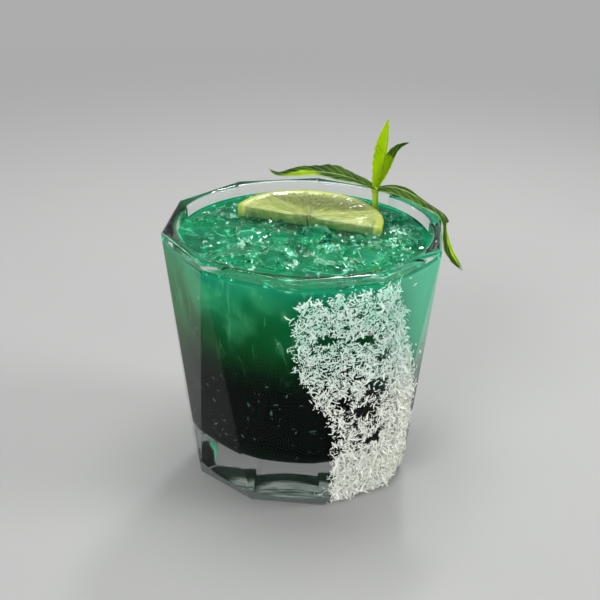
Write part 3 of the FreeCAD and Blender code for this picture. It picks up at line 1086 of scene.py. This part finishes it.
def make_lime(finish):
    """Half a wheel of lime: dished segments, pith, pored peel and a cut front face."""
    place = lime_frame()
    spokes = 150
    radii = [0.3, 1.1] + [2.4 + 0.5 * step for step in range(41)]
    radii += [23.1, 23.5, 23.9, 24.3, 24.6]
    charts = []
    shares = []
    corners = []
    for hand in (1, -1):
        for radius in radii:
            for spoke in range(spokes + 1):
                angle = 180 * spoke / spokes
                rise = lime_height(angle, radius) * (1 if hand > 0 else -1)
                z = (LIME_THICKNESS if hand > 0 else 0) + rise
                turn = math.radians(angle)
                corners.append(point(radius * math.cos(turn), radius * math.sin(turn), z))
                charts.append((angle / 180, radius / LIME_RADIUS))
                inside = 1 if radius < LIME_RADIUS - LIME_PEEL else 0
                shares.append(membrane_share(angle, radius) * inside)
    rows = len(radii)
    width = spokes + 1
    faces = grid_faces(rows - 1, spokes) + grid_faces(rows - 1, spokes, first=rows * width)

    def corner(side, row, spoke):
        return side * rows * width + row * width + spoke

    # the rounded peel, from the top face over the edge to the underside
    peel_rows = []
    over = []
    under = []
    for bend in (18, 36, 54, 72, 90):
        radius = LIME_RADIUS - PEEL_ROUNDING + PEEL_ROUNDING * math.sin(math.radians(bend))
        drop = PEEL_ROUNDING - PEEL_ROUNDING * math.cos(math.radians(bend))
        over.append((radius, LIME_THICKNESS - drop))
        under.insert(0, (radius, drop))
    outline = over + [(LIME_RADIUS, z) for z in (3.3, 2.5, 1.7)] + under
    for radius, z in outline:
        row = []
        for spoke in range(spokes + 1):
            turn = math.pi * spoke / spokes
            bumpy = 0.05 * lumpy(spoke * 1.7, z * 2.3, 0)
            row.append(len(corners))
            reach = radius + bumpy
            corners.append(point(reach * math.cos(turn), reach * math.sin(turn), z))
            charts.append((spoke / spokes, 1.0))
            shares.append(0.0)
        peel_rows.append(row)
    upper = [corner(0, rows - 1, s) for s in range(width)]
    lower = [corner(1, rows - 1, s) for s in range(width)]
    faces += strip_faces([upper] + peel_rows + [lower])
    # the cut front face: a fan of strips between the top and the underside, bulging with pulp
    strips = 6
    for end in (0, spokes):
        edge_top = [corner(0, row, end) for row in range(rows)]
        edge_low = [corner(1, row, end) for row in range(rows)]
        grid = [edge_top]
        for strip in range(1, strips):
            share = strip / strips
            row = []
            for number in range(rows):
                level = corners[edge_top[number]].lerp(corners[edge_low[number]], share)
                radius = radii[number]
                fullness = min(radius / 4, (LIME_RADIUS - radius) / 2.5, 1)
                swell = 0.34 * math.sin(math.pi * share) * fullness
                ragged = 0.22 * lumpy(radius * 1.1, strip * 0.9, end)
                row.append(len(corners))
                corners.append(level - point(0, max(swell + ragged * swell * 3, 0), 0))
                along = 0.02 + 0.04 * share
                charts.append((along if end == 0 else 1 - along, radius / LIME_RADIUS))
                shares.append(0.0)
            grid.append(row)
        grid.append(edge_low)
        faces += strip_faces(grid)
        side_ends = [row[0 if end == 0 else -1] for row in peel_rows]
        inner = [row[-1] for row in grid]
        faces.append(tuple(inner + side_ends[::-1]))
        core_ends = [row[0] for row in grid]
        if end == 0:
            first_core = core_ends
        else:
            last_core = core_ends
    # the small hollow at the core, between the two ends of the innermost ring
    inner_top = [corner(0, 0, s) for s in range(width)]
    inner_low = [corner(1, 0, s) for s in range(width)]
    faces += strip_faces([inner_top, inner_low])
    faces.append(tuple(first_core))
    faces.append(tuple(last_core))
    made = piece("lime", [place @ c for c in corners], faces, finish, chart=charts)
    share_out(made.data, "membrane", shares)
    return made


# ---------------------------------------------------------------- mint

STEM_RADIUS = 1.1
STEM_ROOT = 7.0  # how far the stem runs on under the surface
STEM_GAP = 0.8  # between the stem and the peel
STEM_DIRECTION = 47.2  # degrees round from the lime's cut edge
NODE_LIFT = 8.8  # of the top joint of the stem over the drink
LEAF_THICKNESS = 0.5
LEAF_TEETH = 9


def stem_foot():
    """Where the stem leaves the drink, just behind the lime's peel."""
    turn = math.radians(LIME_TURN + STEM_DIRECTION)
    away = LIME_RADIUS + STEM_GAP + STEM_RADIUS
    return lime_centre() + point(away * math.cos(turn), away * math.sin(turn), 0)


def blend(values, share):
    """A value part of the way through an evenly spaced list."""
    place = share * (len(values) - 1)
    before = min(int(place), len(values) - 2)
    rest = place - before
    return values[before] * (1 - rest) + values[before + 1] * rest


def make_leaf(name, route, facing, finish, half_width, fold, fullness, shoulder, wave=0.0):
    """A toothed, pointed leaf with sunk veins, closed all round, along a smooth midrib.

    Facing lists the way its upper side looks along the route, and fold is in degrees on each half.
    """
    curve = spline(route)
    stations = 96
    half = 10  # corners from the midrib to the edge
    lean = math.radians(fold)
    grid = []
    for station in range(stations + 1):
        share = station / stations
        middle = curve(share)
        ahead = curve(min(share + 0.01, 1.0)) - curve(max(share - 0.01, 0.0))
        along = ahead.normalized()
        up = blend(facing, share)
        side = along.cross(up).normalized()
        over = side.cross(along).normalized()
        swell = math.sin(math.pi * (shoulder + (0.98 - shoulder) * share) ** fullness)
        saw = (share * LEAF_TEETH) % 1.0
        bite = 0.16 * saw**1.6 if 0.12 < share < 0.97 else 0.0
        width = half_width * max(swell, 0.045)
        row = []
        for step in range(-half, half + 1):
            out = abs(step) / half
            reach = width * out * (1 - bite * out**5)
            hand = math.copysign(1, step)
            vein = (share * SIDE_VEINS - out * VEIN_SLANT) % 1.0
            puff = math.sin(math.pi * vein) ** 0.7 * math.sin(math.pi * min(out * 1.02, 1.0)) ** 0.6
            rise = math.sin(lean) * reach + 0.034 * width * puff * 1.6
            rise += wave * math.sin(share * 17 + hand) * out**2 * width
            rise -= 0.05 * width * math.exp(-((out / 0.08) ** 2))
            place = middle + side * (hand * math.cos(lean) * reach * MM) + over * (rise * MM)
            row.append(place)
        grid.append(row)
    width_count = 2 * half + 1
    corners = []
    charts = []
    for layer in (1, -1):
        for station, row in enumerate(grid):
            for number, place in enumerate(row):
                before = grid[max(station - 1, 0)][number]
                after = grid[min(station + 1, stations)][number]
                left = row[max(number - 1, 0)]
                right = row[min(number + 1, width_count - 1)]
                normal = (right - left).cross(after - before).normalized()
                out = abs(number - half) / half
                share = station / stations
                thick = LEAF_THICKNESS * (1 - 0.45 * share) * (1 - 0.62 * out)
                corners.append(place + normal * (layer * thick * MM / 2))
                charts.append((share, number / (width_count - 1)))
    size = (stations + 1) * width_count
    faces = grid_faces(stations, width_count - 1)
    faces += grid_faces(stations, width_count - 1, first=size)
    for station in range(stations):
        for number in (0, width_count - 1):
            a = station * width_count + number
            faces.append((a, a + width_count, size + a + width_count, size + a))
    for station in (0, stations):
        for number in range(width_count - 1):
            a = station * width_count + number
            faces.append((a, a + 1, size + a + 1, size + a))
    return piece(name, corners, faces, finish, chart=charts)


def make_stem(foot, crown, finish):
    """The square stem, swollen at its top joint, rooted in the drink."""
    bottom = foot - point(0, 0, STEM_ROOT)
    rings = []
    count = 36
    for step in range(count + 1):
        share = step / count
        middle = bottom.lerp(crown, share)
        swell = 1.0 - 0.15 * share + 0.42 * math.exp(-(((share - 0.97) / 0.05) ** 2))
        swell *= 1 + 0.03 * lumpy(share * 14, 0, 0)
        rings.append((middle, STEM_RADIUS * swell))
    rings.append((crown + point(0, 0, 0.9), STEM_RADIUS * 0.75))
    around = 20
    corners = []
    for middle, radius in rings:
        for step in range(around):
            turn = 2 * math.pi * step / around
            square = 1 + 0.07 * math.cos(4 * turn)
            reach = radius * square
            corners.append(middle + point(reach * math.cos(turn), reach * math.sin(turn), 0))
    faces = grid_faces(len(rings) - 1, around, closed=True)
    faces.append(tuple(range(around)))
    faces.append(tuple(len(corners) - around + s for s in range(around)))
    return piece("mint_stem", corners, faces, finish)


def make_mint():
    """The sprig: its stem, and four leaves along routes from the top of the stem."""
    foot = stem_foot()
    crown = foot + point(-0.6, 0, NODE_LIFT)

    def from_crown(*offsets):
        return [crown] + [crown + point(*offset) for offset in offsets]

    left = from_crown(
        (-3.0, 0.2, 1.2),
        (-7.1, 0.5, 2.7),
        (-13.0, 1.1, 4.2),
        (-21.0, 2.2, 4.7),
        (-29.0, 3.3, 3.7),
        (-35.3, 4.0, 3.2),
        (-37.7, 4.3, 5.0),
    )
    upright = from_crown((1.2, 0, 5.0), (2.3, 0, 13.0), (3.1, 0, 25.0))
    small = from_crown((2.2, -0.2, 5.6), (4.4, -0.4, 11.0), (7.0, -0.8, 15.3), (10.6, -1.3, 17.4))
    right_corner = compass(RIM_CORNER_RADIUS, RIM_FIRST_CORNER + 108, GLASS_HEIGHT)
    front_corner = compass(RIM_CORNER_RADIUS, RIM_FIRST_CORNER + 144, GLASS_HEIGHT)
    over_rim = right_corner.lerp(front_corner, 0.2) + point(0.2, 0.1, 1.15)
    arch = point(0, 1.2, 1.9)
    drape = [crown] + [crown + (over_rim - crown) * share + arch for share in (0.28, 0.62)]
    for offset in (
        (0, 0, 0),
        (3.8, -5.4, -1.7),
        (4.9, -7.6, -7.2),
        (7.3, -9.3, -14.0),
        (10.9, -10.5, -18.6),
    ):
        drape.append(over_rim + point(*offset))
    up = Vector((0, 0, 1))
    back_left = Vector((-0.59, 0.80, 0))
    to_front = [Vector((-0.5, -0.85, 0.3)), Vector((-0.3, -0.5, 0.8))]
    hanging = [Vector((0, -0.17, 1)), Vector((0.05, -0.05, 1)), Vector((0.15, 0.3, 1))]
    hanging += [Vector((0.5, 0.3, 0.8)), Vector((0.8, -0.35, 0.5)), Vector((0.6, -0.7, 0.35))]
    # painted shade and light: the deep tones paint the leaves' shaded parts and the next tones their
    # sunlit parts
    deep = (paint(26, 56, 2), paint(56, 94, 6), paint(172, 206, 106))
    painted_lit = (paint(120, 158, 2), paint(158, 196, 4), paint(206, 230, 60))
    young = (paint(172, 208, 0), paint(200, 228, 2), paint(222, 244, 76))
    left_leaf = mint_leaf("mint_leaf_left", deep, painted_lit, low=0.53, high=0.78, glow=0.25, side=-1.0)
    right_leaf = mint_leaf("mint_leaf_right", deep, painted_lit, low=0.68, high=0.94, glow=0.25, side=-1.0)
    # the sunny part of the top leaf would start past its tip, and the small one's starts at its stalk
    top_leaf = mint_leaf("mint_leaf_top", young, painted_lit, low=2.0, high=3.0, glow=0.6)
    small_leaf = mint_leaf("mint_leaf_small", deep, painted_lit, low=-1.0, high=0.62, glow=0.4)
    broad = dict(half_width=7.0, fold=7, fullness=0.85, shoulder=0.06, wave=0.05)
    folded = dict(half_width=3.8, fold=34, fullness=1.1, shoulder=0.12)
    slight = dict(half_width=2.3, fold=20, fullness=1.0, shoulder=0.1)
    draped = dict(half_width=6.3, fold=-9, fullness=0.92, shoulder=0.05)
    pieces = [
        make_leaf("mint_leaf_left", left, [up, up], left_leaf, **broad),
        make_leaf("mint_leaf_top", upright, [back_left, back_left], top_leaf, **folded),
        make_leaf("mint_leaf_small", small, to_front, small_leaf, **slight),
        make_leaf("mint_leaf_right", drape, hanging, right_leaf, **draped),
        make_stem(foot, crown, mint_stem()),
    ]
    for made in pieces:
        carry(made, "mint", "mint_sprig")


# ---------------------------------------------------------------- coconut

# the left, top and right edges of the coat, as (compass angle, height)
COAT_LEFT = [(17, 0.6), (15, 9), (15, 29), (8, 39), (-3, 53), (-6, 68), (-4, 78)]
COAT_RIGHT = [(75, 0.6), (74, 10), (70, 22), (63, 37), (57, 50), (49, 65), (42, 79)]
# bare places in the coat, as (compass angle, height, half width in degrees, half height)
COAT_GAPS = [
    (10.5, 65, 4.6, 1.6),
    (25, 64, 4.0, 1.4),
    (35.5, 56.5, 3.6, 1.5),
    (34, 45, 5.6, 3.4),
    (30, 36.5, 5.8, 3.0),
    (19.5, 41, 3.2, 2.4),
    (25, 50, 3.0, 0.9),
    (37, 24.5, 3.2, 1.8),
    (46, 38, 2.2, 1.4),
    (42, 50, 2.0, 1.2),
]
COAT_TOP = [(-4, 79.5), (6, 80.5), (18, 81.2), (32, 82.8), (45, 82.0)]


def edge_angle(edge, z):
    """The compass angle of a side edge of the coat at a height."""
    angles, heights = zip(*edge)
    return float(np.interp(z, heights, angles))


def coat_weight(angle, z):
    """How thickly the coat lies at a place, 0 to 1, with a ragged edge, tufts and bare gaps."""
    left = edge_angle(COAT_LEFT, z)
    right = edge_angle(COAT_RIGHT, z)
    angles, heights = zip(*COAT_TOP)
    top = float(np.interp(angle, angles, heights))
    here = Vector((angle * 0.75, z, 0))
    ragged = 1.5 * noise.noise(here * 0.18) + 2.0 * noise.noise(here * 0.5)
    inward = min(angle - left, right - angle) * 0.75 + ragged
    downward = top - z + 1.2 * ragged
    solid = clamp(min(inward, downward) / 2.6) ** 1.2
    bare = 0.0
    wander = 0.5 * noise.noise(here * 0.5 + Vector((4, 4, 2)))
    for gap_angle, gap_height, half_angle, half_height in COAT_GAPS:
        away = math.hypot((angle - gap_angle) / half_angle, (z - gap_height) / half_height)
        bare = max(bare, clamp((1.25 - away - wander) / 0.4))
    # small holes: more of them at middle height on the left, none at the foot or on the far right
    holes = noise.noise(here * 0.42 + Vector((2, 9, 4)))
    holes += 0.5 * noise.noise(here * 0.9 + Vector((7, 3, 1)))
    low_right = clamp((angle - 40) / 16) + clamp((22 - z) / 12)
    airy = 0.16 * math.exp(-(((z - 36) / 15) ** 2)) if angle < 46 else 0.0
    thin = clamp((holes - 0.16 + airy) / 0.25) * max(1 - low_right, 0.0)
    tufts = 0.75 + 0.8 * noise.noise(here * 0.8 + Vector((1, 5, 8)))
    covered = clamp(tufts + low_right, 0.2)
    return solid * (1 - 0.93 * bare) * (1 - 0.82 * thin) * covered


def coat_ground(name, weigh, angles, heights, lift):
    """A patch of the outside of the glass, weighted for strewing and lifted off it a little."""
    low_angle, high_angle = angles
    low_z, high_z = heights
    corners = []
    weights = []
    columns = int((high_angle - low_angle) / 0.8)
    rows = int((high_z - low_z) / 0.7)
    for row in range(rows + 1):
        z = low_z + (high_z - low_z) * row / rows
        for column in range(columns + 1):
            angle = low_angle + (high_angle - low_angle) * column / columns
            place, outward = glass_skin(angle, z)
            corners.append(place + outward * lift * MM)
            weights.append(weigh(angle, z))
    return ground_mesh(name, corners, grid_faces(rows, columns), weights)


def flake(rng, length, width, bend, runs=3):
    """One shred: a thin, bent, torn strip about a millimetre long before it is scaled."""
    corners = []
    sweep = rng.uniform(-0.10, 0.10) * length
    for station in range(runs + 1):
        share = station / runs
        x = (share - 0.5) * length
        lift = bend * (1 - (2 * share - 1) ** 2)
        belly = 0.35 + 0.75 * math.sin(math.pi * (0.1 + 0.8 * share))
        half = width * 0.5 * belly * rng.uniform(0.7, 1.25)
        slide = sweep * (2 * share - 1) ** 2
        skew = rng.uniform(-0.1, 0.1) * length
        thick = 0.05 + 0.05 * rng.random()
        for hand, height in ((-1, 0), (1, 0), (1, thick), (-1, thick)):
            torn = rng.uniform(-0.03, 0.05)
            corners.append(point(x + skew * hand, hand * half + slide, lift + height + torn))
    ends = [(0, 1, 2, 3), tuple(4 * runs + k for k in (3, 2, 1, 0))]
    return corners, ends + grid_faces(runs, 4, closed=True), False


def make_coconut(tree, finish):
    """Layers of shreds stuck to the outside of the glass, thickest low on the right."""
    rng = random.Random(11)
    shapes = []
    for number in range(16):
        slim = number % 4
        length = rng.uniform(1.0, 1.9) if slim else rng.uniform(0.5, 0.8)
        width = rng.uniform(0.16, 0.34) if slim else rng.uniform(0.3, 0.5)
        shapes.append(flake(rng, length, width, rng.uniform(-0.08, 0.22)))
    shreds = shape_set("shred", shapes)

    def thick(angle, z):
        low_right = max(min((angle - 40) / 16, 1.0), min((26 - z) / 16, 1.0), 0.0)
        return coat_weight(angle, z) * (0.3 + 0.7 * low_right)

    def stray(angle, z):
        left = edge_angle(COAT_LEFT, z) - 8
        right = edge_angle(COAT_RIGHT, z) + 12
        inside = min(angle - left, right - angle)
        near = clamp(inside / 10)
        return near * 0.5 * (0.4 + 0.6 * max(lumpy(angle * 0.2, z * 0.2, 5) + 0.4, 0))

    under = coat_ground("under", coat_weight, angles=(-12, 82), heights=(1.2, 83.5), lift=0.10)
    over = coat_ground("over", thick, angles=(-12, 82), heights=(1.4, 83.0), lift=0.45)
    loose = coat_ground("loose", stray, angles=(-18, 92), heights=(1.2, 82.5), lift=0.1)
    grains = spread(5.0e6, gap=0.28, scale=(0.4, 0.95), tip=0.9, lie=(0.0, 0.5))
    slivers = spread(2.4e6, gap=0.4, scale=(0.6, 1.9), tip=0.5, lie=(0.0, 0.35))
    tufts = spread(1.5e6, gap=0.5, scale=(0.7, 2.5), tip=1.0, lie=(-0.2, 0.7))
    scraps = spread(1.3e5, gap=1.1, scale=(0.4, 1.8), tip=0.2, lie=(0.0, 0.2))
    layers = [
        strew(tree, "coconut_grains", under, shreds, finish, Seed=5, **grains),
        strew(tree, "coconut_under", under, shreds, finish, Seed=3, **slivers),
        strew(tree, "coconut_over", over, shreds, finish, Seed=9, **tufts),
        strew(tree, "coconut_strays", loose, shreds, finish, Seed=21, **scraps),
    ]
    clear_shapes(shreds)
    for ground in (under, over, loose):
        bpy.data.meshes.remove(ground)
    for made in layers:
        carry(made, "coconut", "coconut_coat")
    return layers


# ---------------------------------------------------------------- small ice and bubbles


def chip(rng):
    """A small worn splinter of ice, about one millimetre across before it is scaled."""
    worked = bmesh.new()
    bmesh.ops.create_icosphere(worked, subdivisions=1, radius=0.5)
    stretch = Vector((rng.uniform(0.9, 1.5), rng.uniform(0.6, 1.1), rng.uniform(0.35, 0.7)))
    for vertex in worked.verts:
        vertex.co = Vector(c * s for c, s in zip(vertex.co, stretch))
        vertex.co += Vector((rng.uniform(-1, 1), rng.uniform(-1, 1), rng.uniform(-1, 1))) * 0.14
    return taken_out(worked, False)


def bead():
    """A round bubble, one millimetre across before it is scaled."""
    worked = bmesh.new()
    bmesh.ops.create_icosphere(worked, subdivisions=2, radius=0.5)
    return taken_out(worked, True)


def taken_out(worked, smooth):
    """Corners, faces and shading of a shape that was worked in millimetres."""
    corners = [vertex.co * MM for vertex in worked.verts]
    worked.verts.index_update()
    faces = [tuple(vertex.index for vertex in face.verts) for face in worked.faces]
    worked.free()
    return corners, faces, smooth


def level_ground(name, weigh, radius, z):
    """A disc of the drink's surface, weighted for strewing."""
    corners = []
    weights = []
    faces = []
    count = int(2 * radius)
    index = {}
    for row in range(count + 1):
        for column in range(count + 1):
            x = -radius + 2 * radius * column / count
            y = -radius + 2 * radius * row / count
            if math.hypot(x, y) <= radius:
                index[(row, column)] = len(corners)
                corners.append(point(x, y, z))
                weights.append(weigh(x, y))
    for row in range(count):
        for column in range(count):
            keys = [(row, column), (row, column + 1), (row + 1, column + 1), (row + 1, column)]
            if all(key in index for key in keys):
                faces.append(tuple(index[key] for key in keys))
    return ground_mesh(name, corners, faces, weights)


# where small splinters of white ice have gathered, as (x, y, breadth); their white is partly painted
# glints
GATHERED = [
    (7.1, 9.2, 2.6),
    (-2.5, -16.9, 3.2),
    (23.7, -5.2, 5.0),
    (-19.1, -10.2, 3.4),
    (-35.5, 17.1, 3.0),
    (8.4, -10.2, 3.0),
    (14.5, -22.1, 2.6),
    (28.7, 4.5, 3.6),
    (-32.0, 25.3, 2.4),
]


def make_small_things(tree, ice, skin, frost_and_glints):
    """Splinters and pale grains of ice at the surface, the grains' white partly painted glints, and
    bubbles in clusters.
    """
    rng = random.Random(5)
    chips = shape_set("chip", [chip(rng) for _ in range(9)])
    beads = shape_set("bead", [bead()])
    reach = bowl_radius(DRINK_LEVEL) - 1.2
    lime = lime_centre() / MM
    lime_turn = math.radians(LIME_TURN)

    def off_lime(x, y):
        right = (x - lime.x) * math.cos(lime_turn) + (y - lime.y) * math.sin(lime_turn)
        ahead = -(x - lime.x) * math.sin(lime_turn) + (y - lime.y) * math.cos(lime_turn)
        inside = ahead > -1.0 and math.hypot(right, ahead) < LIME_RADIUS + 1.0
        return 0.0 if inside else 1.0

    def chip_weight(x, y):
        tuft = lumpy(x * 0.11, y * 0.11, 3.0) + 0.35
        right_side = 0.5 * clamp((x - 8) / 16)
        return off_lime(x, y) * clamp(tuft + right_side)

    def grain_weight(x, y):
        near = 0.0
        for centre_x, centre_y, breadth in GATHERED:
            away = math.hypot((x - centre_x) * 0.7, y - centre_y) / breadth
            near = max(near, math.exp(-(away**2)))
        speckle = lumpy(x * 0.5, y * 0.5, 2.0) + 0.45
        return off_lime(x, y) * clamp(speckle) * (near + 0.06)

    def bead_weight(x, y):
        tuft = lumpy(x * 0.2, y * 0.2, 8.0)
        rim = 1.0 if math.hypot(x, y) > reach - 3 else 0.0
        return off_lime(x, y) * clamp(tuft * 2.2 + rim * 0.25)

    top = level_ground("top", chip_weight, reach - 1, DRINK_LEVEL - 0.5)
    froth = level_ground("froth", bead_weight, reach, DRINK_LEVEL + 0.1)
    slush = level_ground("slush", grain_weight, reach - 1, DRINK_LEVEL + 0.3)
    splinters = spread(6.2e4, gap=1.8, scale=(1.8, 5.6), tip=0.5, lie=(-1.2, 0.6))
    grains = spread(1.6e6, gap=0.5, scale=(0.5, 1.7), tip=1.2, lie=(-0.6, 0.9))
    domes = spread(4.2e5, gap=0.6, scale=(0.3, 1.0), tip=0.0, lie=(-0.2, 0.2))
    carry(strew(tree, "ice_chips", top, chips, ice, Seed=4, **splinters), "ice", "drink")
    carry(strew(tree, "ice_grains", slush, chips, frost_and_glints, Seed=12, **grains), "ice", "drink")
    carry(strew(tree, "bubbles", froth, beads, skin, Seed=6, **domes), "drink", "drink")
    clear_shapes(chips)
    clear_shapes(beads)
    bpy.data.meshes.remove(top)
    bpy.data.meshes.remove(froth)
    bpy.data.meshes.remove(slush)


def wall_ground(name, weigh, low, high):
    """The inside wall of the bowl, weighted for strewing, facing outwards."""
    corners = []
    weights = []
    columns = 150
    rows = 40
    for row in range(rows + 1):
        z = low + (high - low) * row / rows
        radius = bowl_radius(z) + WALL_BITE
        for column in range(columns):
            angle = 360 * column / columns
            corners.append(compass(radius, angle, z))
            weights.append(weigh(angle, z))
    return ground_mesh(name, corners, grid_faces(rows, columns, closed=True), weights)


def make_crumbs(tree, finish):
    """Crumbs of coconut in the drink, against the inside of the wall."""
    rng = random.Random(8)
    shapes = [flake(rng, rng.uniform(1.0, 1.7), rng.uniform(0.3, 0.6), 0.0, 2) for _ in range(8)]
    crumbs = shape_set("crumb", shapes)

    def weigh(angle, z):
        # thickest up to 28 mm, and thinning out up to 52 mm
        low = clamp((52 - z) / 24, 0.04)
        return low * (0.5 + 0.5 * lumpy(angle * 0.1, z * 0.2, 0))

    wall = wall_ground("wall", weigh, BOWL_FLOOR + 2.5, DRINK_LEVEL - 4)
    flat = spread(1.5e5, gap=1.1, scale=(0.6, 1.6), tip=0.1, lie=(-0.08, -0.02))
    made = strew(tree, "sunk_crumbs", wall, crumbs, finish, Seed=14, **flat)
    clear_shapes(crumbs)
    bpy.data.meshes.remove(wall)
    carry(made, "drink", "drink")


# ---------------------------------------------------------------- everything

# The small faces of the rounded edges at the foot and the rim gleam more than the flat facets.
BROAD = 4.0e-5  # from this area on, in square metres, a face is a facet
FOOT_EDGE = 0.008  # the foot's edges lie below this height, in metres
RIM_EDGE = 0.078  # the rim's edges lie above this height

set_stage()

glass_node = frame["nodes"]["glass"]
glass_node.data.materials.clear()
glass_node.data.materials.append(tumbler_glass("tumbler_facets", 0.03))
glass_node.data.materials.append(tumbler_glass("tumbler_edges", 1.0))
for face in glass_node.data.polygons:
    gleams = face.area < BROAD and not FOOT_EDGE < face.center.z < RIM_EDGE
    face.material_index = 1 if gleams else 0

clear_ice = cracked_ice("clear_ice", (0.66, 0.96, 0.86, 1.0), paint(70, 176, 136), 0.35)
# painted glints: the white of these grains is partly frost and partly painted glints of light
white_ice = cracked_ice("white_ice", (0.95, 1.0, 0.98, 1.0), paint(206, 240, 226), 0.75)
small_ice = cracked_ice("small_ice", (0.80, 0.98, 0.92, 1.0), paint(104, 190, 154), 0.28)
lumps = []
for node_name in sorted(frame["nodes"]):
    if node_name.startswith("ice_"):
        chunk = melted("lump_" + node_name, frame["nodes"][node_name], 0.42, clear_ice)
        carry(chunk, "ice", node_name)
        lumps.append(chunk)

carry(make_murk(murky_drink()), "drink", "drink")
carry(make_film(drink_surface(), lumps), "drink", "drink")
carry(make_lime(lime_flesh()), "lime", "lime_slice")
make_mint()
strewing = strew_tree("strewing")
make_small_things(strewing, small_ice, air_bubble(), white_ice)
make_crumbs(strewing, sunk_crumb())
make_coconut(strewing, shred_white())
